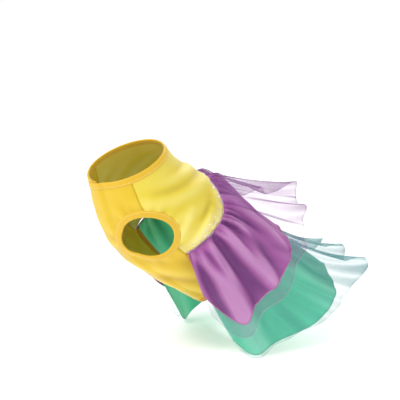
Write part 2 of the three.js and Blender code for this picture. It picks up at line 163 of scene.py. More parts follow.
def form_raw(share, angle):
    """centre + rise * (sin pitch, 0, cos pitch) - side * sin(angle) * Y, rise = radius * cos(angle)."""
    share, angle = np.broadcast_arrays(np.asarray(share, float), np.asarray(angle, float))
    turn = np.radians(angle)
    pitch = np.radians(curve(SECTIONS, "at", "pitch", share))
    back = curve(SECTIONS, "at", "back", share)
    breast = curve(SECTIONS, "at", "breast", share)
    rise = np.where(np.cos(turn) > 0, back, breast) * FORM_DEPTH * np.cos(turn)
    x = curve(SECTIONS, "at", "x", share) * FORM_LENGTH + np.sin(pitch) * rise
    y = -curve(SECTIONS, "at", "side", share) * FORM_WIDTH * np.sin(turn)
    z = curve(SECTIONS, "at", "z", share) * FORM_LENGTH + np.cos(pitch) * rise
    return np.stack([x, y, z], -1)


SEAT = form_raw(SEAT_SHARE, 0.0)


def unit(v):
    """Each vector divided by its length."""
    return v / np.maximum(np.linalg.norm(v, axis=-1, keepdims=True), 1e-12)


def form_normal(share, angle):
    """The outward normal: small step round crossed with small step along."""
    along = form_raw(share + 0.001, angle) - form_raw(share - 0.001, angle)
    around = form_raw(share, angle + 0.2) - form_raw(share, angle - 0.2)
    return unit(np.cross(around, along))


def on_form(share, angle, off):
    """The form's point, moved out along its normal by off, with the seat at the origin."""
    share, angle, off = np.broadcast_arrays(
        np.asarray(share, float), np.asarray(angle, float), np.asarray(off, float)
    )
    return form_raw(share, angle) - SEAT + form_normal(share, angle) * off[..., None]


def waist_share(angle):
    """The waist seam's share of the length, the same on both sides."""
    return curve(WAIST, "angle", "along", np.abs(angle))


def belly_share(angle):
    """The chest panels' rear edge, as a share of the length."""
    return curve(BELLY, "angle", "along", np.abs(angle))


print("chest girth about", round(math.pi * (FORM_DEPTH + FORM_WIDTH) / 2 * 0.98, 3), "m")

# %% [markdown]
# ## From arrays to meshes
# Every sheet is a grid of points. One helper turns the grid into faces, turns the faces outwards,
# and stores the cloth's own measure in metres as its UV map, so that a weave follows the threads.

# %% Make a mesh from a grid
def mesh_piece(name, points, outward, uv, values=None, ring=False, keep=None):
    """Quads over a grid of points; outward tells which side is out; ring joins last row to first."""
    n, m = points.shape[:2]
    index = np.arange(n * m).reshape(n, m)
    label = np.arange(uv.shape[0] * uv.shape[1]).reshape(uv.shape[:2])
    if ring:
        index = np.vstack([index, index[:1]])

    def corners(a):
        return np.stack([a[:-1, :-1], a[1:, :-1], a[1:, 1:], a[:-1, 1:]], -1).reshape(-1, 4)

    quads, marks = corners(index), corners(label)
    if keep is not None:
        quads, marks = quads[keep.ravel()], marks[keep.ravel()]
    flat = points.reshape(-1, 3)
    q = flat[quads]
    facing = np.cross(q[:, 2] - q[:, 0], q[:, 3] - q[:, 1])
    if (facing * outward.reshape(-1, 3)[quads[:, 0]]).sum() < 0:
        quads, marks = quads[:, ::-1], marks[:, ::-1]
    mesh = bpy.data.meshes.new(name)
    mesh.from_pydata(flat.tolist(), [], quads.tolist())
    layer = mesh.uv_layers.new(name="cloth")
    layer.data.foreach_set("uv", uv.reshape(-1, 2)[marks.ravel()].ravel().astype(np.float32))
    for key, value in (values or {}).items():
        attribute = mesh.attributes.new(key, "FLOAT", "POINT")
        attribute.data.foreach_set("value", value.ravel().astype(np.float32))
    mesh.polygons.foreach_set("use_smooth", np.ones(len(quads), bool))
    loose = np.setdiff1d(np.arange(n * m), np.unique(quads))
    if len(loose):
        drop_points(mesh, loose)
    return worn(name, mesh)


def worn(name, mesh):
    """A piece of the dress: an object that rides on its one body."""
    piece = add(name, mesh)
    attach(piece, "root")
    return piece


def drop_points(mesh, loose):
    """Deletes the points that no face uses."""
    work = bmesh.new()
    work.from_mesh(mesh)
    work.verts.ensure_lookup_table()
    bmesh.ops.delete(work, geom=[work.verts[int(i)] for i in loose], context="VERTS")
    work.to_mesh(mesh)
    work.free()


def thicken(piece, wall):
    """Gives a sheet its wall, inwards from the side that shows."""
    solid = piece.modifiers.new("wall", "SOLIDIFY")
    solid.thickness = wall
    solid.offset = -1


def finish_with(piece, material):
    """Gives the piece its material."""
    piece.data.materials.append(material)
    return piece


def corners_of(piece):
    """The lowest and highest corner of a piece's points, in millimetres."""
    flat = np.empty(len(piece.data.vertices) * 3, np.float32)
    piece.data.vertices.foreach_get("co", flat)
    points = flat.reshape(-1, 3) @ np.array(piece.matrix_world.to_3x3()).T / MM
    points = points + np.array(piece.matrix_world.translation) / MM
    return np.concatenate([points.min(0), points.max(0)]).round(1)


def stand_for(piece, node):
    """Puts the piece in its plain solid's place and prints how far their boxes differ."""
    print(node, "box differs by", (corners_of(piece) - corners_of(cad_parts[node])).round(1))
    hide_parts(node)


# %% [markdown]
# ## Sewing helpers
# Bindings, piping and rolled hems are all a small section carried along a path. The path's own
# frame is its tangent, the cloth's normal and the direction that lies in the cloth.

# %% Carry a section along a path
def path_frames(points, normals, closed):
    """Side vectors: tangent x normal, with the tangent from the neighbours on the path."""
    if closed:
        tangent = np.roll(points, -1, 0) - np.roll(points, 1, 0)
    else:
        tangent = np.gradient(points, axis=0)
    return unit(np.cross(unit(tangent), normals))


def swept(name, points, normals, section, closed=False):
    """point + side * across + normal * off, for each row (across, off) of a closed section."""
    side = path_frames(points, normals, closed)
    ring = np.vstack([section, section[:1]])
    grid = (
        points[:, None]
        + side[:, None] * ring[None, :, :1]
        + normals[:, None] * ring[None, :, 1:]
    )
    middle_line = grid[:, :-1].mean(1, keepdims=True)
    steps = np.linalg.norm(np.diff(points, axis=0, append=points[:1]), axis=1)
    run = np.concatenate([[0], np.cumsum(steps)])
    run = run if closed else run[:-1]
    around = np.concatenate([[0], np.cumsum(np.linalg.norm(np.diff(ring, axis=0), axis=1))])
    uv = np.stack(np.meshgrid(run, around, indexing="ij"), -1)
    piece = mesh_piece(name, grid, grid - middle_line, uv, ring=closed)
    close_tube(piece, closed)
    return piece


def close_tube(piece, closed):
    """Welds the section's seam and, on an open path, fills both ends."""
    work = bmesh.new()
    work.from_mesh(piece.data)
    bmesh.ops.remove_doubles(work, verts=work.verts, dist=1e-7)
    if not closed:
        edges = [e for e in work.edges if e.is_boundary]
        if edges:
            bmesh.ops.holes_fill(work, edges=edges, sides=0)
    bmesh.ops.recalc_face_normals(work, faces=work.faces)
    work.to_mesh(piece.data)
    work.free()


def tape_section(low, high, thickness, middle_off):
    """A folded tape's section: a flat oval |x|^4 + |y|^2.2 = 1, fuller where it is folded."""
    turn = np.linspace(0, 2 * np.pi, 21)[:-1]
    c, s = np.cos(turn), np.sin(turn)
    across = np.sign(c) * np.abs(c) ** 0.5 * (high - low) / 2 + (high + low) / 2
    off = np.sign(s) * np.abs(s) ** 0.9 * thickness / 2 + middle_off
    return np.stack([across, off], -1)


def round_section(radius, sides):
    """radius * (cos turn, sin turn), for a cord or a rolled hem."""
    turn = np.linspace(0, 2 * np.pi, sides + 1)[:-1]
    return radius * np.stack([np.cos(turn), np.sin(turn)], -1)


STITCH_SPACING = 3.0 * MM
STITCH_LENGTH = 2.2 * MM
STITCH_WIDTH = 0.55 * MM
STITCH_SIDES = 6


def stitches(name, points, normals, closed):
    """Short rounded bars along a line: each is a six-sided spindle of four rings on the path."""
    loop = np.vstack([points, points[:1]]) if closed else points
    normal_loop = np.vstack([normals, normals[:1]]) if closed else normals
    run = np.concatenate([[0], np.cumsum(np.linalg.norm(np.diff(loop, axis=0), axis=1))])
    centres = np.arange(STITCH_SPACING / 2, run[-1], STITCH_SPACING)
    half = STITCH_LENGTH / 2

    def at(r, rows):
        return np.stack([np.interp(r, run, rows[:, k]) for k in range(3)], -1)

    ahead = unit(at(centres + half, loop) - at(centres - half, loop))
    up = unit(at(centres, normal_loop))
    across = unit(np.cross(ahead, up))
    stations = np.array([(-0.5, 0.25), (-0.3, 1.0), (0.3, 1.0), (0.5, 0.25)])
    turn = np.linspace(0, 2 * np.pi, STITCH_SIDES + 1)[:-1]
    centre = at(centres, loop)[:, None, None]
    radius = stations[None, :, 1, None, None] * STITCH_WIDTH / 2
    ring = np.cos(turn)[None, None, :, None] * across[:, None, None]
    ring = ring + np.sin(turn)[None, None, :, None] * up[:, None, None] * 0.7
    reach = ahead[:, None, None] * stations[None, :, 0, None, None] * STITCH_LENGTH
    grid = centre + reach + ring * radius
    shape = (len(centres), len(stations), STITCH_SIDES)
    base = np.arange(np.prod(shape)).reshape(shape)
    nxt = np.roll(base, -1, 2)
    quads = np.stack([base[:, :-1], nxt[:, :-1], nxt[:, 1:], base[:, 1:]], -1).reshape(-1, 4)
    faces = quads[:, ::-1].tolist() + base[:, 0].tolist() + base[:, 3, ::-1].tolist()
    mesh = bpy.data.meshes.new(name)
    mesh.from_pydata(grid.reshape(-1, 3).tolist(), [], faces)
    mesh.polygons.foreach_set("use_smooth", np.ones(len(mesh.polygons), bool))
    return worn(name, mesh)


# %% [markdown]
# ## Finishes
# Shader maths reads best as plain sums. A wire wraps one socket and makes a Math node for each
# sign, and the finish class makes any other node from its type, its settings and its sockets.

# %% Wrap sockets
class Wire:
    """One socket of a finish: each sign between wires or numbers makes a Math node."""

    def __init__(self, finish, socket):
        self.finish = finish
        self.socket = socket

    def maths(self, operation, a, b):
        return self.finish.node("ShaderNodeMath", {"operation": operation}, {0: a, 1: b})

    def __add__(self, other):
        return self.maths("ADD", self, other)

    def __sub__(self, other):
        return self.maths("SUBTRACT", self, other)

    def __rsub__(self, other):
        return self.maths("SUBTRACT", other, self)

    def __mul__(self, other):
        return self.maths("MULTIPLY", self, other)

    def sine(self):
        return self.maths("SINE", self, 0)

    __radd__ = __add__
    __rmul__ = __mul__


class Finish:
    """One material: node() makes a node, shade() sets the surface."""

    def __init__(self, name):
        self.material = bpy.data.materials.new(name)
        self.material.use_nodes = True
        self.tree = self.material.node_tree
        self.surface = self.tree.nodes["Principled BSDF"]

    def node(self, kind, settings=None, sockets=None, out=0):
        made = self.tree.nodes.new(kind)
        for key, value in (settings or {}).items():
            setattr(made, key, value)
        for key, value in (sockets or {}).items():
            self.feed(made.inputs[key], value)
        return Wire(self, made.outputs[out])

    def feed(self, socket, value):
        if isinstance(value, Wire):
            self.tree.links.new(value.socket, socket)
        else:
            socket.default_value = value

    def shade(self, **sockets):
        for key, value in sockets.items():
            self.feed(self.surface.inputs[key.replace("_", " ")], value)

    def mix(self, factor, first, second):
        return self.node(
            "ShaderNodeMix",
            {"data_type": "RGBA", "clamp_factor": True},
            {0: factor, 6: first, 7: second},
            out=2,
        )

    def value(self, name):
        return self.node("ShaderNodeAttribute", {"attribute_name": name}, out=2)

    def place(self):
        """Object coordinates: the point's own place in metres."""
        return self.node("ShaderNodeTexCoord", out=3)

    def noise(self, scale, detail=3.0):
        sockets = {"Vector": self.place(), "Scale": scale, "Detail": detail}
        return self.node("ShaderNodeTexNoise", sockets=sockets)

    def threads(self, spacing):
        """sin across the cloth plus sin along it: a plain weave, from the cloth's own measure."""
        cloth = self.node("ShaderNodeUVMap", {"uv_map": "cloth"})
        across = self.node("ShaderNodeSeparateXYZ", sockets={0: cloth})
        along = Wire(self, across.socket.node.outputs[1])
        wave = 2 * math.pi / spacing
        return (across * wave).sine() + (along * wave).sine()

    def bump(self, height, strength, distance):
        return self.node(
            "ShaderNodeBump", sockets={"Strength": strength, "Distance": distance, "Height": height}
        )


def linear(code):
    """A colour written as on a shade card, 0xRRGGBB, in the linear values that a shader takes."""
    srgb = np.array([(code >> 16) & 255, (code >> 8) & 255, code & 255]) / 255
    return (*np.where(srgb < 0.04045, srgb / 12.92, ((srgb + 0.055) / 1.055) ** 2.4), 1.0)


# %% [markdown]
# ## Satin
# Satin is smooth threads packed so closely that they shine across the folds. Its colour is painted
# with shade, a deep colour in the valleys, and with a highlight, a pale colour on the ridges. The
# fold attribute says how high a point lies on its fold, and so where the painted shade and the
# painted highlight lie.

# %% Mix the satins
SATIN_WEAVE = 0.45 * MM
SATIN_BUMP = 0.6 * MM
GLITTER_CELLS = 1500.0
GLITTER_RARITY = 0.9


def satin(name, valley_shade, body, light, crinkle=0.25):
    """Colour from a painted shade in a valley over body to a painted highlight on a ridge, moved a little
    by a cloud.
    """
    f = Finish(name)
    fold = f.value("fold")
    cloud = f.noise(28.0)
    # Painted shade in the valleys and a painted highlight on the ridges, placed by the fold attribute.
    low = f.mix(fold * 2, linear(valley_shade), linear(body))
    high = f.mix(fold * 2 - 1 + (cloud - 0.5) * 0.5, low, linear(light))
    height = f.threads(SATIN_WEAVE) * 0.06 + f.noise(90.0, 4.0) * crinkle + cloud * 0.5
    f.shade(
        Base_Color=high,
        Roughness=0.34 + cloud * 0.16,
        Normal=f.bump(height, 0.35, SATIN_BUMP),
        Sheen_Weight=0.12,
        Sheen_Roughness=0.4,
        Anisotropic=0.4,
        Specular_IOR_Level=0.35,
    )
    return f.material


def glitter_satin(name, valley_shade, body, light):
    """Bodice satin, with a band of fine glitter along the waist where the attribute band is 1."""
    f = Finish(name)
    fold, band = f.value("fold"), f.value("band")
    cloud = f.noise(24.0)
    # Painted shade in the valleys and a painted highlight on the ridges, placed by the fold attribute.
    low = f.mix(fold * 2, linear(valley_shade), linear(body))
    cloth = f.mix(fold * 2 - 1 + (cloud - 0.5) * 0.6, low, linear(light))
    sockets = {"Vector": f.place(), "Scale": GLITTER_CELLS}
    cells = f.node("ShaderNodeTexVoronoi", sockets=sockets, out=1)
    chance = f.node("ShaderNodeSeparateColor", sockets={0: cells})
    spark = chance.maths("GREATER_THAN", chance, GLITTER_RARITY) * band
    film = f.mix(band * 0.2, cloth, linear(0xF4EFC0))
    height = f.threads(SATIN_WEAVE) * 0.06 + f.noise(90.0, 4.0) * 0.3 + cloud * 0.6
    f.shade(
        Base_Color=f.mix(spark * 0.7, film, linear(0xFFFDF2)),
        Roughness=0.35 + cloud * 0.14 - spark * 0.25,
        Metallic=spark * 0.5,
        Normal=f.bump(height, 0.35, SATIN_BUMP),
        Sheen_Weight=0.1,
        Sheen_Roughness=0.4,
        Anisotropic=0.35,
        Specular_IOR_Level=0.35,
    )
    return f.material


# %% [markdown]
# ## Sheer cloth and thread
# Organza is stiff and nearly clear. Where it is creased, pressed or hemmed, more threads lie in
# the line of sight and it looks denser, so its alpha is a sum of those marks. Light that comes
# through is left to the renderer, because plain alpha also lives on in the exported model.

# %% Mix the sheers and threads
SHEER_GRAIN = 1.1 * MM
SHEER_WEAVE = 0.7 * MM


def sheer(name, body, crease_colour, clear, crease_strength, line_strength, hem_strength):
    """Density = (clear + creases + hem + pressed lines + a little cloud and weave) * cover."""
    f = Finish(name)
    crease, edge, line = f.value("crease"), f.value("edge"), f.value("line")
    cloud = f.noise(40.0)
    grain = f.threads(SHEER_GRAIN) * 0.035
    density = clear + crease * crease_strength + edge * hem_strength + line * line_strength
    density = (density + (cloud - 0.5) * 0.05 + grain) * f.value("cover")
    f.shade(
        Base_Color=f.mix(crease + line + edge * 0.5, linear(body), linear(crease_colour)),
        Alpha=density.maths("MINIMUM", density, 1.0),
        Roughness=0.5,
        Normal=f.bump(cloud + f.threads(SHEER_WEAVE) * 0.1, 0.3, 0.5 * MM),
        Specular_IOR_Level=0.3,
    )
    return f.material


def thread(name, colour, roughness=0.5, cover=1.0):
    """Sewing thread, piping and rolled hems: one colour with a fine uneven tone."""
    f = Finish(name)
    tone = f.noise(300.0, 2.0)
    f.shade(
        Base_Color=f.mix(tone * 0.3, linear(colour), linear(0xFFFFFF)),
        Roughness=roughness + tone * 0.1,
        Normal=f.bump(f.noise(900.0, 2.0), 0.4, 0.2 * MM),
        Sheen_Weight=0.15,
        Alpha=cover,
    )
    return f.material


# %% [markdown]
# ## The shade card
# Each satin takes its painted valley shade, its body colour and its painted ridge highlight. The
# hems are stitched in thread that is a shade deeper than the cloth, and a sheer layer's own hem is
# so thin that it is see-through too.

# %% Name the finishes
# In each satin the first colour is the painted valley shade and the last the painted ridge highlight.
back_satin = glitter_satin("back_satin", 0xA88C18, 0xDEC83C, 0xEFE078)
chest_satin = glitter_satin("chest_satin", 0x987408, 0xD9B41A, 0xEACE46)
binding_satin = satin("binding_satin", 0xA07408, 0xD9AC1C, 0xEAC84A, crinkle=0.5)
belly_satin = satin("belly_satin", 0x84500A, 0xC07E12, 0xDCA42C, crinkle=0.5)
upper_satin = satin("upper_satin", 0x6A2C6E, 0xA85A9E, 0xCE94C6)
lower_satin = satin("lower_satin", 0x22A076, 0x58D2A6, 0xA0EACE)
upper_hem = thread("upper_hem", 0xA83484)
lower_hem = thread("lower_hem", 0x4CB090)
upper_sheer_hem = thread("upper_sheer_hem", 0xB886BA, 0.6, 0.45)
lower_sheer_hem = thread("lower_sheer_hem", 0x8CC8BC, 0.6, 0.5)
upper_sheer = sheer("upper_sheer", 0x9858A2, 0x7A3C80, 0.19, 0.34, 0.6, 0.1)
lower_sheer = sheer("lower_sheer", 0x7AB2B6, 0x5A9A9E, 0.22, 0.3, 0.5, 0.08)
yellow_thread = thread("yellow_thread", 0xE8CC50)
silver_piping = thread("silver_piping", 0xB9AAC6, 0.35)
tape_grey = thread("tape", 0xCDB65A, 0.8)
foil = Finish("spangle")
foil.shade(Base_Color=linear(0xF6F0FA), Metallic=0.7, Roughness=0.22)
spangle = foil.material
print("finishes:", len(bpy.data.materials))

# %% [markdown]
# ## Bodice panels
# The back panel and the two chest panels are cut to the form. A boolean could cut their leg holes,
# but it would leave ragged faces. Here they are trimmed on the grid: faces inside the oval go, and
# the points beside it move out onto it, which leaves a clean edge for the binding.

# %% Lay out the openings
LEG_HOLE = {"along": 0.375, "angle": 131.0, "half_along": 0.19, "half_angle": 35.0}
HOLE_RADIUS = 24 * MM
HOLE_ASPECT = 180
TRIM_FROM = 0.82
SIDE_SEAM = 116.0
SEAM_GAP = 0.3 * MM
BODICE_WALL = 1.2 * MM
LINED_WALL = 0.9 * MM
CLOSURE_WALL = 1.0 * MM
CLOSURE_GAP = 0.5 * MM
CLOSURE_WIDTH = 12 * MM
LAP_RISE = BODICE_WALL + CLOSURE_WALL + 2 * CLOSURE_GAP
LEFT_EDGE = 184.0
RIGHT_EDGE = 360.0 - LEFT_EDGE + math.degrees(CLOSURE_WIDTH / (FORM_DEPTH / 2))
LAP_FROM, LAP_FULL = 158, 167


def lap(angle, side):
    """The left panel rises where it lies over the right one."""
    return LAP_RISE * smooth(LAP_FROM, LAP_FULL, angle) if side > 0 else np.zeros_like(angle)


def hole_radius(share, angle):
    """1 on the leg hole's edge, less inside it."""
    along = (share - LEG_HOLE["along"]) / LEG_HOLE["half_along"]
    around = (np.abs(angle) - LEG_HOLE["angle"]) / LEG_HOLE["half_angle"]
    return np.hypot(along, around)


def trim_hole(share, angle):
    """Moves points just inside the oval onto it; gives the faces that stay."""
    r = hole_radius(share, angle)
    inside = r < 1
    near = inside & (r > TRIM_FROM)
    scale = np.where(near, 1 / np.maximum(r, 1e-6), 1)
    share = LEG_HOLE["along"] + (share - LEG_HOLE["along"]) * scale
    side = np.sign(angle + 1e-9)
    angle = side * (LEG_HOLE["angle"] + (np.abs(angle) - LEG_HOLE["angle"]) * scale)
    gone = inside & ~near
    any_gone = gone[:-1, :-1] | gone[1:, :-1] | gone[1:, 1:] | gone[:-1, 1:]
    flat = (r[:-1, :-1] < 1) & (r[1:, :-1] < 1) & (r[1:, 1:] < 1) & (r[:-1, 1:] < 1)
    return share, angle, ~(any_gone | flat)


print("chest edges at", LEFT_EDGE, "and", round(-RIGHT_EDGE, 1), "degrees")

# %% [markdown]
# ## Puckers and soft folds
# Thin satin puckers where a seam holds it, and lies in a few broad folds where it is pulled. Both
# are heights over the form: seeded waves that fade from a seam or an opening, and ridges along
# straight lines, worked out for all the points of a panel at once.

# %% Shape the relief
def ripple(x, count, seed):
    """A sum of seven sines near one frequency, with seeded phases, so that no two waves match."""
    local = np.random.default_rng(seed)
    waves = count * local.uniform(0.55, 1.45, 7)
    phases = local.uniform(0, 2 * np.pi, 7)
    return sum(np.sin(w * x + p) for w, p in zip(waves, phases)) / 2.6


def ridge(share, angle, start, end, width):
    """1 on the line from start to end, (share, angle), falling off sideways and past it.

    On this form a degree of angle is about a millimetre, so both are measured alike.
    """
    long = FORM_LENGTH / MM
    a = np.array([start[0] * long, start[1]])
    d = np.array([end[0] * long, end[1]]) - a
    p = np.stack([share * long, np.abs(angle)], -1) - a
    t = np.clip((p @ d) / (d @ d), 0, 1)
    gap = np.linalg.norm(p - t[..., None] * d, axis=-1)
    return np.exp(-((gap / width) ** 2)) * np.sin(np.pi * np.clip(t, 0.06, 0.94)) ** 0.5


BROAD_FOLDS = [
    (2.6, (0.6, 104), (0.575, 62), 4.5),
    (-1.3, (0.57, 84), (0.54, 50), 6.0),
    (1.6, (0.5, 112), (0.44, 76), 5.0),
]
SEAM_PUCKERS, HOLE_PUCKERS = 34, 13


def bodice_relief(share, angle):
    """Puckers that fade from the seams, plus BROAD_FOLDS: rise in mm, start, end and width."""
    turn = np.radians(angle)
    to_waist = (waist_share(angle) - share) * FORM_LENGTH
    to_hole = (hole_radius(share, angle) - 1) * HOLE_RADIUS
    seam = np.exp(-((to_waist / (9 * MM)) ** 2)) * (np.abs(angle) < SIDE_SEAM)
    hole = np.exp(-np.abs(to_hole) / (7 * MM))
    beside, along = np.abs(angle) - LEG_HOLE["angle"], share - LEG_HOLE["along"]
    round_hole = np.arctan2(beside, along * HOLE_ASPECT)
    relief = 0.4 * seam * ripple(turn, SEAM_PUCKERS, 3)
    relief += 0.35 * hole * ripple(round_hole, HOLE_PUCKERS, 5)
    for rise, start, end, width in BROAD_FOLDS:
        relief += rise * ridge(share, angle, start, end, width)
    relief += 0.5 * ripple(turn * 2 + share * 9, 3, 9) * smooth(0.05, 0.2, share)
    to_side = (np.abs(angle) - SIDE_SEAM) * MM
    relief -= 0.7 * np.exp(-((to_side / (1.3 * MM)) ** 2))
    return relief * MM


# %% [markdown]
# ## Cutting and sewing the panels
# The back runs from side seam to side seam and down to the waist. The chest panels run on round
# the body to the lap and down to the belly's edge. Each panel is declared as a sheet: its flat
# width and length are the maker's choice of a piece of cloth, and its area is the mesh's own.

# %% Make the panels
SEAM_SLIT = 0.06
BACK_GRID = (330, 100)
CHEST_GRID = (110, 170)


def bodice_panel(name, low, high, side, far_edge, counts, material):
    """u runs round the body and v down to the far edge, a function of the angle."""
    u, v = np.meshgrid(np.linspace(0, 1, counts[0]), np.linspace(0, 1, counts[1]), indexing="ij")
    angle = low + (high - low) * u
    share = v * far_edge(angle)
    share, angle, keep = trim_hole(share, angle)
    relief = bodice_relief(share, angle)
    rise = lap(np.abs(angle), side)
    points = on_form(share, angle, BODICE_WALL + rise + relief)
    uv = np.stack([np.radians(angle) * FORM_WIDTH / 2, share * FORM_LENGTH], -1)
    to_waist = (waist_share(angle) - share) * FORM_LENGTH
    band = (1 - smooth(6 * MM, 12 * MM, to_waist)) * (np.abs(angle) < SIDE_SEAM)
    # The fold attribute places the painted shade in the relief's valleys and the painted highlight on its
    # ridges.
    fold = np.clip(0.58 + relief / (3.4 * MM), 0, 1)
    piece = mesh_piece(
        name, points, form_normal(share, angle), uv, {"fold": fold, "band": band}, keep=keep
    )
    thicken(piece, LINED_WALL)
    return finish_with(piece, material)


reach = SIDE_SEAM - SEAM_SLIT
start = SIDE_SEAM + SEAM_SLIT
back = bodice_panel("back_panel_satin", -reach, reach, 0, waist_share, BACK_GRID, back_satin)
chest_left = bodice_panel(
    "chest_left_satin", start, LEFT_EDGE, 1, belly_share, CHEST_GRID, chest_satin
)
chest_right = bodice_panel(
    "chest_right_satin", -start, -RIGHT_EDGE, -1, belly_share, CHEST_GRID, chest_satin
)
stand_for(back, "back_panel")
stand_for(chest_left, "chest_panel_left")
stand_for(chest_right, "chest_panel_right")


def cloth_area(piece):
    """The area of one side of the sheet, from its mesh before the wall is added."""
    return sum(p.area for p in piece.data.polygons)


# %% [markdown]
# ## Bindings
# A binding is a bias tape folded over a raw edge and stitched down. A bevelled curve could draw
# it, but a flat oval carried along the edge keeps the fold fuller and lies on the cloth all the
# way. It reaches a little over the panel, so that no gap shows beside it.

# %% Bind the edges
TAPE = 6.5 * MM
NECK_TAPE = 6.0 * MM
BELLY_TAPE = 5.0 * MM
TAPE_THICK = 2.2 * MM
TAPE_PROUD = 0.2 * MM
TAPE_TONE = 0.62
NECK_TONE = 0.6
OVER = 1.0 * MM
STITCH_INSET = 0.9 * MM
STITCH_LIFT = 0.15 * MM


def bind(name, share, angle, rise, width, way, node, material, tone=TAPE_TONE, closed=False):
    """Sweeps the tape along (share, angle); way is +1 or -1, the side of the path that it covers."""
    normals = form_normal(share, angle)
    points = on_form(share, angle, BODICE_WALL / 2 + rise)
    low, high = sorted((-way * OVER, way * (SEAM_GAP + width)))
    section = tape_section(low, high, TAPE_THICK + TAPE_PROUD, TAPE_PROUD / 2)
    piece = swept(name, points, normals, section, closed)
    fold = np.full(len(piece.data.vertices), tone, np.float32)
    piece.data.attributes.new("fold", "FLOAT", "POINT").data.foreach_set("value", fold)
    finish_with(piece, material)
    stand_for(piece, node)
    lift = BODICE_WALL / 2 + rise + TAPE_THICK / 2 + STITCH_LIFT
    inwards = path_frames(points, normals, closed) * way
    line = on_form(share, angle, lift) + inwards * STITCH_INSET
    finish_with(stitches(name + "_stitches", line, normals, closed), yellow_thread)


turn = np.linspace(0, 2 * np.pi, 181)[:-1]
hole_share = LEG_HOLE["along"] + LEG_HOLE["half_along"] * np.cos(turn)
hole_angle = LEG_HOLE["angle"] + LEG_HOLE["half_angle"] * np.sin(turn)
for side, word, far in ((1, "left", LEFT_EDGE), (-1, "right", RIGHT_EDGE)):
    bind(
        f"leg_tape_{word}", hole_share, side * hole_angle, lap(hole_angle, side), TAPE, side,
        f"leg_binding_{word}", binding_satin, closed=True,
    )
    edge = np.linspace(SIDE_SEAM + 0.3, far, 90)
    bind(
        f"belly_tape_{word}", belly_share(edge), side * edge, lap(edge, side), BELLY_TAPE, -side,
        f"belly_binding_{word}", belly_satin,
    )
print("leg and belly tapes bound")

# %% [markdown]
# ## Neck and waist
# The neck's tape runs from one chest edge over the back to the other, and only its left end rises
# with the lap. The waist seam holds a piping, a covered cord: the same sweep, with a round section.

# %% Bind the neck and pipe the waist
PIPING = 1.8 * MM
SKIRT_END = 114.0
neck_angle = np.linspace(LEFT_EDGE, -RIGHT_EDGE, 220)
neck_rise = np.where(neck_angle > 0, lap(np.abs(neck_angle), 1), 0)
bind(
    "neck_tape", 0 * neck_angle, neck_angle, neck_rise, NECK_TAPE, -1,
    "neck_binding", binding_satin, tone=NECK_TONE,
)
print("neck bound, lap rise", round(float(neck_rise.max()) / MM, 2), "mm")

pipe_angle = np.linspace(-SKIRT_END - 1, SKIRT_END + 1, 400)
pipe_points = on_form(waist_share(pipe_angle), pipe_angle, BODICE_WALL / 2)
pipe_normals = form_normal(waist_share(pipe_angle), pipe_angle)
pipe_points = pipe_points - path_frames(pipe_points, pipe_normals, False) * (SEAM_GAP + PIPING / 2)
piping = swept("waist_cord", pipe_points, pipe_normals, round_section(PIPING * 0.4, 10))
finish_with(piping, silver_piping)
stand_for(piping, "waist_piping")

# %% [markdown]
# ## Spangles and closure
# Small bright spangles lie along the waist. Each is a low cone with few faces, since there are
# many, and seeded draws scatter them. The strip between the laps keeps its plain solid: it is a
# flat tape that never shows, so a colour is all that it needs.

# %% Scatter the spangles
SPANGLES = 72
SPANGLE_SIDES = 12
SPANGLE_RISE = 0.45 * MM
SPANGLE_GAP = 0.05 * MM
SMALL_SPANGLE, LARGE_SPANGLE = 0.55, 1.2
rng = np.random.default_rng(7)


def sequins(name, share, angle, radius):
    """Round spangles: each is a rim and a smaller top, joined as a low cone on the satin."""
    off = BODICE_WALL + bodice_relief(share, angle) + SPANGLE_GAP
    centre, normal = on_form(share, angle, off), form_normal(share, angle)
    first = unit(np.cross(normal, [0.3, 0.2, 0.9]))
    second = np.cross(normal, first)
    turn = np.linspace(0, 2 * np.pi, SPANGLE_SIDES + 1)[:-1]
    c, s = np.cos(turn)[None, :, None], np.sin(turn)[None, :, None]
    rim = centre[:, None] + radius[:, None, None] * (c * first[:, None] + s * second[:, None])
    top = rim * 0.45 + centre[:, None] * 0.55 + normal[:, None] * SPANGLE_RISE
    points = np.concatenate([rim, top], 1)
    low = (np.arange(len(centre)) * 2 * SPANGLE_SIDES)[:, None] + np.arange(SPANGLE_SIDES)
    high = low + SPANGLE_SIDES
    walls = np.stack([low, np.roll(low, -1, 1), np.roll(high, -1, 1), high], -1).reshape(-1, 4)
    mesh = bpy.data.meshes.new(name)
    faces = walls.tolist() + high.tolist() + low[:, ::-1].tolist()
    mesh.from_pydata(points.reshape(-1, 3).tolist(), [], faces)
    return finish_with(worn(name, mesh), spangle)


spangle_angle = np.linspace(-104, 104, SPANGLES) + rng.uniform(-0.8, 0.8, SPANGLES)
in_row = rng.random(SPANGLES) < 0.75
spangle_gap = np.where(in_row, 2.4, rng.uniform(3.5, 9.0, SPANGLES)) * MM
sequins(
    "waist_sequins",
    waist_share(spangle_angle) - spangle_gap / FORM_LENGTH,
    spangle_angle,
    np.where(rng.random(SPANGLES) < 0.14, LARGE_SPANGLE, SMALL_SPANGLE) * MM,
)
print("spangles:", SPANGLES)

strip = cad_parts["closure_strip"]
strip.data.materials.clear()
strip.data.materials.append(tape_grey)

# %% [markdown]
# ## How the skirts hang
# All four layers hang from the waist seam over one common surface. A layer then has its own
# height over it: the stack in the seam, folds that open towards the hem, fine gathers that fade
# from the seam, and a sag. No layer may lie lower than the one beneath it plus a little air.

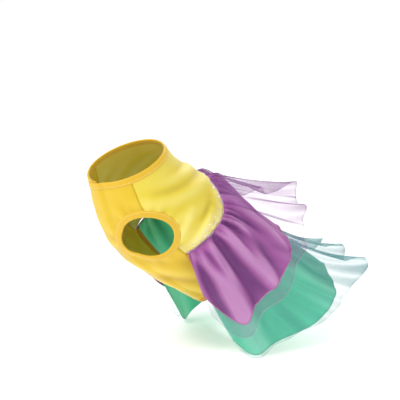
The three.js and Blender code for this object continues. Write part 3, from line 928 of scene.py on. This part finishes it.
# %% Describe the drape
EASE = 1.5 * MM
BACK_PITCH = math.radians(38)
DRAPE_REACH = 200 * MM
LAYER_PITCH = 1.4 * MM
LAYER_SPREAD = 1.3 * MM
SEAM_ZONE = 20 * MM
FRONT_LIFT = 5 * MM
FRONT_FROM = 0.75
FRONT_FADE = 14 * MM
UPPER_LENGTH = 112 * MM
LOWER_LENGTH = 190 * MM
LOWER_SHEER_EXTRA = 8 * MM
DRAPE = columns(
    "at fall_seam fall_hem lift_seam lift_hem sag",
    [
        (0.0, 0, 0, -0.06, 0.03, 1.0),
        (0.2, 0, 0, -0.04, 0.05, 1.0),
        (0.4, 3, 6, 0.00, 0.10, 0.8),
        (0.6, 8, 18, 0.04, 0.16, 0.5),
        (0.8, 17, 33, 0.06, 0.22, 0.3),
        (0.9, 23, 28, 0.07, 0.22, 0.2),
        (1.0, 34, 0, 0.07, 0.20, 0.2),
    ],
)
HEMS = columns(
    "at upper lower upper_sheer lower_sheer",
    [
        (0.00, 1.00, 1.00, 0.80, 0.97),
        (0.20, 0.98, 1.00, 0.77, 1.03),
        (0.40, 0.92, 0.94, 0.66, 0.94),
        (0.60, 0.84, 0.85, 0.71, 0.805),
        (0.80, 0.84, 0.75, 0.80, 0.715),
        (0.90, 0.83, 0.73, 0.83, 0.69),
        (0.96, 0.64, 0.66, 0.76, 0.64),
        (1.00, 0.40, 0.56, 0.58, 0.56),
    ],
)


def folds(rows):
    """Where the broad folds lie round the hem, from -1 to 1, and how high each stands."""
    return columns("at rise", rows)


LOWER_FOLDS = folds(
    [(-1, 0.2), (-0.9, 0.75), (-0.74, 0.3), (-0.55, 0.9), (-0.36, 0.3), (-0.18, 0.8), (0, 0.25),
     (0.14, 0.7), (0.3, 0.3), (0.5, 0.75), (0.7, 0.45), (0.85, 0.95), (0.94, 0.3), (1, 0.1)]
)
LOWER_SHEER_FOLDS = folds(
    [(-1, 0.3), (-0.88, 0.15), (-0.72, 0.55), (-0.56, 0.2), (-0.4, 0.85), (-0.24, 0.3),
     (-0.08, 0.6), (0.02, 0.4), (0.11, 0.68), (0.2, 0.42), (0.3, 0.88), (0.44, 0.3), (0.58, 0.4),
     (0.72, 0.22), (0.86, 0.4), (1, 0.15)]
)
UPPER_FOLDS = folds(
    [(-1, 0.3), (-0.86, 0.95), (-0.74, 0.15), (-0.6, 0.85), (-0.46, 0.15), (-0.32, 0.6),
     (-0.2, 0.1), (-0.08, 0.5), (0.03, 0.15), (0.15, 0.45), (0.28, 0.2), (0.42, 0.85),
     (0.53, 0.1), (0.64, 0.75), (0.73, 0.1), (0.86, 1.0), (0.94, 0.2), (1, 0.3)]
)
UPPER_SHEER_FOLDS = folds(
    [(-1, 0.3), (-0.88, 0.65), (-0.74, 0.35), (-0.6, 0.6), (-0.46, 0.3), (-0.34, 0.5),
     (-0.22, 0.26), (-0.09, 0.48), (0.03, 0.34), (0.15, 0.9), (0.24, 0.7), (0.33, 0.86),
     (0.42, 0.7), (0.52, 0.8), (0.62, 0.6), (0.72, 0.72), (0.82, 0.45), (0.91, 0.62), (1, 0.3)]
)
LAYERS = [
    {"name": "lower_skirt", "length": LOWER_LENGTH, "hem": "lower", "folds": LOWER_FOLDS,
     "depth": 10 * MM, "bloom": 0.8, "sag": 4 * MM, "gather": 0.8 * MM, "flutter": 0.5 * MM,
     "puff": 0, "pleat": 0.3, "end": 0.97},
    {"name": "lower_overskirt", "length": LOWER_LENGTH + LOWER_SHEER_EXTRA, "hem": "lower_sheer",
     "folds": LOWER_SHEER_FOLDS, "depth": 44 * MM, "bloom": 4, "sag": 0, "gather": 0.5 * MM,
     "flutter": 2.0 * MM, "puff": 0, "pleat": 0, "end": 0.975},
    {"name": "upper_skirt", "length": UPPER_LENGTH, "hem": "upper", "folds": UPPER_FOLDS,
     "depth": 15 * MM, "bloom": 0.6, "sag": 18 * MM, "gather": 2.3 * MM, "flutter": 0.5 * MM,
     "puff": 2.5 * MM, "pleat": 0.85, "end": 0.995},
    {"name": "upper_overskirt", "length": UPPER_LENGTH, "hem": "upper_sheer",
     "folds": UPPER_SHEER_FOLDS, "depth": 52 * MM, "bloom": 1.25, "sag": 0, "gather": 0.6 * MM,
     "flutter": 2.2 * MM, "puff": 2.5 * MM, "pleat": 0.3, "end": 1.0},
]
FINE_GATHERS, BROAD_GATHERS, FLUTTERS, HEM_WAVES = 84, 38, 46, 17
GATHER_REACH = 25 * MM
GATHER_START = 6 * MM
SOFT_BLEND = 1.2 * MM
LAYER_AIR = 0.7 * LAYER_PITCH
FAR_SHIFT = 0.035
# Each pleat: place at the seam, start down in mm, place at its end, end down, width, rise.
PLEATS = [
    (0.54, 2, 0.56, 60, 5.0, 3.2),
    (0.60, 2, 0.63, 66, 3.2, -4.5),
    (0.655, 8, 0.67, 80, 5.5, 3.4),
    (0.745, 3, 0.755, 64, 3.4, -4.5),
    (0.80, 4, 0.81, 60, 5.0, 3.0),
    (0.855, 3, 0.86, 44, 3.0, -4.0),
    (0.915, 8, 0.905, 88, 4.5, 3.6),
    (0.965, 5, 0.94, 52, 3.0, -3.5),
    (0.45, 3, 0.44, 50, 4.0, -3.0),
    (0.33, 2, 0.31, 62, 5.0, 3.0),
    (0.22, 2, 0.2, 54, 4.0, -3.0),
    (0.1, 2, 0.09, 58, 5.0, 2.6),
    (-0.05, 2, -0.06, 50, 4.0, -2.6),
]
print("layers:", [layer["name"] for layer in LAYERS], "pleats:", 2 * len(PLEATS))

# %% [markdown]
# ## From the tables to a height
# A point of a skirt is named by its place round the seam, from -1 to 1, and by how far down the
# cloth it lies. The drape turns the two into a point in space. Each layer then adds its own height
# along the way out, so that one formula can keep the layers apart.

# %% Work out the drape
TAIL = np.array([math.cos(BACK_PITCH), 0, -math.sin(BACK_PITCH)])
UP = np.array([math.sin(BACK_PITCH), 0, math.cos(BACK_PITCH)])
LEFT = np.array([0, -1.0, 0])


def drape_point(at, down, off):
    """Seam point + down * (cos fall * tail + sin fall * round) + (rise + off) * out."""
    side = np.where(at < 0, -1.0, 1.0)
    share = np.abs(at)
    turn = np.radians(share * SKIRT_END)
    c, s = np.cos(turn)[..., None], (np.sin(turn) * side)[..., None]
    out = UP * c + LEFT * s
    around = -UP * np.sin(turn)[..., None] + LEFT * (np.cos(turn) * side)[..., None]
    reach = down / (2 * DRAPE_REACH)
    start = curve(DRAPE, "at", "fall_seam", share)
    fall = np.radians(start + (curve(DRAPE, "at", "fall_hem", share) - start) * reach)
    low = curve(DRAPE, "at", "lift_seam", share)
    rise = down * (low + (curve(DRAPE, "at", "lift_hem", share) - low) * reach)
    angle = at * SKIRT_END
    return (
        on_form(waist_share(angle), angle, EASE)
        + TAIL * (down * np.cos(fall))[..., None]
        + around * (down * np.sin(fall))[..., None]
        + out * (rise + off)[..., None]
    ), out


def hem_length(layer, at):
    """The layer's length at its hem, a touch longer on a ridge than in a valley."""
    share = curve(HEMS, "at", layer["hem"], np.abs(at))
    swing = curve(layer["folds"], "at", "rise", at) - 0.5 + 0.35 * ripple(at, HEM_WAVES, 60)
    return layer["length"] * share * (1 + 0.02 * swing)


def pleats(at, down):
    """Long soft tucks from the seam, mirrored: rise * exp(-(across / width)^2), faded at its ends."""
    total = np.zeros_like(down)
    for a, start, b, end, width, rise in PLEATS:
        for side in (1, -1):
            shift = 0.0 if side > 0 else FAR_SHIFT
            share = (down / MM - start) / (end - start)
            line = side * (a + (b - a) * share + 0.012 * np.sin(3 * share + 9 * a)) - shift
            across = (at - line) * 120 / width
            along = smooth(start - 4, start + 8, down / MM)
            along = along * (1 - smooth(end * 0.55, end * 1.2, down / MM))
            total += rise * np.exp(-(across**2)) * along
    return total * MM


def own_height(index, at, down):
    """Stack + front lift + fold + puff + pleats + gathers + flutter - sag."""
    layer = LAYERS[index]
    run = np.clip(down / hem_length(layer, at), 0, 1)
    settle = smooth(0, SEAM_ZONE, down)
    front = FRONT_LIFT * smooth(FRONT_FROM, 1, np.abs(at)) * smooth(0, FRONT_FADE, down)
    stack = (index - len(LAYERS) + 1) * LAYER_PITCH + 2 * SEAM_GAP + settle * index * LAYER_SPREAD
    fold = curve(layer["folds"], "at", "rise", at) * layer["depth"] * run ** layer["bloom"]
    lean = 0.024 * np.sin(3.2 * run + 1.3 * index + 7 * at)
    fine = ripple(at + lean, FINE_GATHERS, 20 + index) * np.exp(-((down / GATHER_REACH) ** 2))
    fine = layer["gather"] * fine * smooth(0, GATHER_START, down)
    broad = layer["gather"] * ripple(at + lean, BROAD_GATHERS, 30 + index)
    broad = broad * run**0.5 * (1 - 0.7 * run)
    sway = 0.03 * np.sin(5 * run + 4 * at)
    flutter = layer["flutter"] * ripple(at + sway, FLUTTERS, 40 + index) * run**2.2
    sag = layer["sag"] * curve(DRAPE, "at", "sag", np.abs(at)) * run**3
    puff = layer["puff"] * smooth(1 * MM, 9 * MM, down)
    tucks = layer["pleat"] * pleats(at, down)
    return stack + front + fold + puff + tucks + settle * (broad + flutter) + fine - sag


def layer_height(index, at, down):
    """The higher of the layer's own height and the one beneath plus air, blended softly."""
    own = own_height(index, at, down)
    if index == 0:
        return own
    under = layer_height(index - 1, at, down) + LAYER_AIR
    under = under + LAYER_SPREAD * smooth(0, SEAM_ZONE, down)
    d = np.clip((own - under) / SOFT_BLEND, -1, 1)
    return np.maximum(own, under) + SOFT_BLEND / 4 * (1 - np.abs(d)) ** 2


back_end = drape_point(np.zeros(1), np.full(1, LOWER_LENGTH), 0)[0]
print("lower hem's middle lies at", back_end.round(3))

# %% [markdown]
# ## The four skirts
# A gathered skirt could be simulated as cloth, but then its folds would fall where they like. Here
# each layer is one fine grid over the drape above. Its fold attribute is the height over a blurred
# copy of itself, and its crease attribute marks where the cloth bends sharply, which is where
# organza looks dense.

# %% Make the skirts
SKIRT_COLUMNS, SKIRT_ROWS = 480, 72
SKIRT_START = 0.9 * MM
SATIN_WALL, SHEER_WALL = 0.45 * MM, 0.12 * MM
LOWER_HEM, UPPER_HEM, SHEER_HEM = 0.55 * MM, 0.7 * MM, 0.22 * MM
FOLD_BLUR = 41
FOLD_DEPTH = 5 * MM
CUT_AT = 0.2


def blurred(values, width):
    """A running mean along the first axis, the same length as before."""
    kernel = np.ones(width) / width
    padded = np.pad(values, ((width // 2, width // 2), (0, 0)), mode="edge")
    return np.apply_along_axis(lambda col: np.convolve(col, kernel, mode="valid"), 0, padded)


def press_lines(layer, at, down):
    """Thin pressed lines down the fold crests and valleys; each one wanders and fades a little."""
    total = np.zeros_like(down)
    for k, row in enumerate(layer["folds"]["at"][1:-1]):
        wander = 0.012 * np.sin(down / (31 * MM) + 2.1 * k)
        half = 0.7 / (90 + 400 * down)
        strength = 0.55 + 0.45 * np.sin(1.7 * k + down / (23 * MM))
        total += strength * np.exp(-(((at - row - wander) / half) ** 2)) * smooth(0, 25 * MM, down)
    return np.clip(total, 0, 1) * (1 - 0.8 * smooth(0.36, 0.52, np.abs(at)))


def skirt(index, material, hem_material, wall, hem_radius):
    """Rows run down from the seam, columns round it; the hem is rolled along the last row."""
    layer = LAYERS[index]
    at, v = np.meshgrid(
        np.linspace(-1, 1, SKIRT_COLUMNS + 1) * layer["end"],
        np.linspace(0, 1, SKIRT_ROWS + 1),
        indexing="ij",
    )
    length = hem_length(layer, at)
    down = SKIRT_START + (length - SKIRT_START) * v**1.1
    height = layer_height(index, at, down)
    points, out = drape_point(at, down, height)
    # The fold attribute places the satin's painted shade in the valleys and its painted highlight on the
    # ridges.
    relief = height - blurred(height, FOLD_BLUR)
    fold = np.clip(0.5 + relief / FOLD_DEPTH, 0, 1)
    bend = np.abs(np.gradient(np.gradient(height, axis=0), axis=0))
    crease = np.clip(bend / (np.percentile(bend, 99) + 1e-9), 0, 1) ** 0.8
    edge = smooth(0.975, 1.0, v)
    line = press_lines(layer, at, down)
    cover = 1 - 0.65 * smooth(0.32, 0.5, np.abs(at))
    step = np.linalg.norm(np.diff(points, axis=0, prepend=points[:1]), axis=-1)
    uv = np.stack([np.cumsum(step, 0), down], -1)
    values = {"fold": fold, "crease": crease, "edge": edge, "line": line, "cover": cover}
    piece = mesh_piece(layer["name"] + "_cloth", points, out, uv, values)
    thicken(piece, wall)
    finish_with(piece, material)
    stand_for(piece, layer["name"])
    hem_line, hem_out = points[:, -1], unit(out[:, -1])
    hem = swept(layer["name"] + "_hem", hem_line, hem_out, round_section(hem_radius, 7))
    finish_with(hem, hem_material)
    hem_width = float(np.linalg.norm(np.diff(points[:, -1], axis=0), axis=-1).sum())
    area = cloth_area(piece)
    table_length = layer["length"] * float(curve(HEMS, "at", layer["hem"], np.array(CUT_AT)))
    cut_length = max(table_length, area / hem_width)
    min(area, hem_width * cut_length)
    print(piece.name, "hem", round(hem_width, 3), "long", round(cut_length, 3), "area", round(area, 4))


skirt(0, lower_satin, lower_hem, SATIN_WALL, LOWER_HEM)
skirt(1, lower_sheer, lower_sheer_hem, SHEER_WALL, SHEER_HEM)
skirt(2, upper_satin, upper_hem, SATIN_WALL, UPPER_HEM)
skirt(3, upper_sheer, upper_sheer_hem, SHEER_WALL, SHEER_HEM)

# %% [markdown]
# ## Light and ground
# A pale floor and soft lights, as in a bright studio. The floor lies at the lowest hem, and glows
# a little so that it stays pale. The light from high on the left is the strongest.

# %% Set the stage
FLOOR_HALF = 6.0
FLOOR_GREY = (0.88, 0.88, 0.88, 1)
WHITE = (1, 1, 1, 1)
FLOOR_GLOW = 0.4
WORLD_LIGHT = 0.6
lowest = np.array(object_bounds())[0][2]
floor_mesh = bpy.data.meshes.new("floor")
floor_corners = [(x * FLOOR_HALF, y * FLOOR_HALF, lowest) for x, y in ((-1, -1), (1, -1), (1, 1), (-1, 1))]
floor_mesh.from_pydata(floor_corners, [], [(0, 1, 2, 3)])
floor = add("floor", floor_mesh)
paper = Finish("paper")
paper.shade(Base_Color=FLOOR_GREY, Roughness=0.9, Emission_Color=WHITE, Emission_Strength=FLOOR_GLOW)
floor_mesh.materials.append(paper.material)

world = bpy.data.worlds.new("studio")
world.use_nodes = True
background = world.node_tree.nodes["Background"]
background.inputs[0].default_value = WHITE
background.inputs[1].default_value = WORLD_LIGHT
bpy.context.scene.world = world
bpy.context.scene.view_settings.view_transform = "Standard"


def lamp(name, across, height, ahead, power, size):
    """An area light placed from the camera's own directions and turned to the dress."""
    data = bpy.data.lights.new(name, "AREA")
    data.energy = power
    data.size = size
    light = add(name, data)
    spot = rightwards * across + np.array([0, 0, 1.0]) * height + towards * ahead
    back_way = unit(spot)
    side_way = unit(np.cross([0, 0, 1.0], back_way))
    turn = np.eye(4)
    turn[:3, 0], turn[:3, 1], turn[:3, 2] = side_way, np.cross(back_way, side_way), back_way
    turn[:3, 3] = spot
    light.matrix_world = turn.T.tolist()


lamp("key", -0.9, 1.2, 0.7, 20, 0.45)
lamp("fill", 1.2, 0.6, 0.8, 5, 1.0)
lamp("rim", 0.5, 1.0, -1.2, 7, 0.8)
print("lamps:", len(bpy.data.lights))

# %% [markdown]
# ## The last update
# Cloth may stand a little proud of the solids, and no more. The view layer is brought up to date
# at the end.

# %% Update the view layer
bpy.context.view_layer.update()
